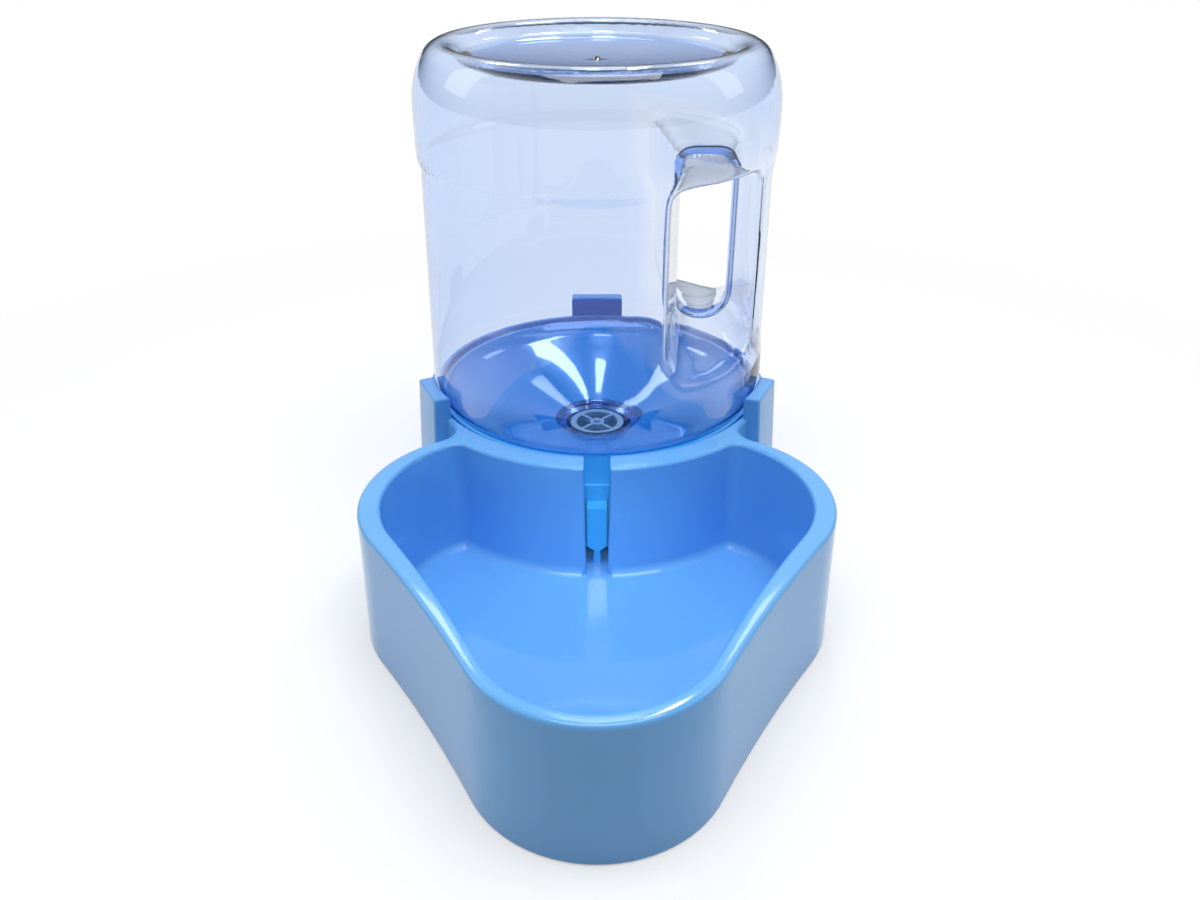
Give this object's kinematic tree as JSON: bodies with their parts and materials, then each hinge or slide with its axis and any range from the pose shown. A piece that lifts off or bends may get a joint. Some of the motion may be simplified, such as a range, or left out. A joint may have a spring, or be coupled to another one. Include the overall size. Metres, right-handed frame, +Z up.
{
  "type": "pet waterer",
  "caption": "Gravity-fed pet waterer: a deep trefoil drinking bowl with a round tower behind it, fed through a slot by an upturned clear bottle with a moulded-in handle and a spring valve.",
  "frame": {"origin": "on the floor, under the centre of the waterer's bounding box", "axes": "+X to the side that the bottle's handle is on, +Y from the bowl towards the bottle, +Z up"},
  "size_m": [0.2692, 0.459, 0.302],
  "materials": {
    "base": "gloss",
    "seat": "gloss",
    "bottle": "clear",
    "cap": "satin",
    "valve": "satin",
    "seals": "matte",
    "spring": "drawn",
    "feet": "matte"
  },
  "bodies": {
    "base": {"base_shell": "base", "bottle_seat": "seat", "foot_front_left": "feet", "foot_front_right": "feet", "foot_left": "feet", "foot_right": "feet", "foot_back_left": "feet", "foot_back_right": "feet"},
    "bottle": {"bottle": "bottle", "neck_seal": "seals", "valve_insert": "valve", "valve_cage": "valve", "valve_spring": "spring"},
    "plunger": {"valve_plunger": "valve", "valve_seal": "seals"},
    "gasket": {"cap_gasket": "seals"},
    "collar": {"cap_collar": "cap"}
  },
  "joints": [
    {"name": "bottle_lift", "type": "slide", "parent": "base", "child": "bottle", "axis": [0, 0, 1], "range_m": [0, 0.12]},
    {"name": "plunger_press", "type": "slide", "parent": "bottle", "child": "plunger", "axis": [0, 0, 1], "range_m": [0, 0.005], "stiffness_N_per_m": 200, "springref_m": -0.004, "deforming": ["valve_spring"]},
    {"name": "collar_travel", "type": "slide", "parent": "bottle", "child": "gasket", "axis": [0, 0, -1], "range_m": [0, 0.0091]},
    {"name": "collar_turn", "type": "hinge", "parent": "gasket", "child": "collar", "pos_m": [0, 0.10447, 0.0342], "axis": [0, 0, -1], "range_deg": [0, 540]}
  ],
  "couplings": [
    {"joint": "collar_travel", "follows": "collar_turn", "m_per_rad": 0.00095493}
  ]
}
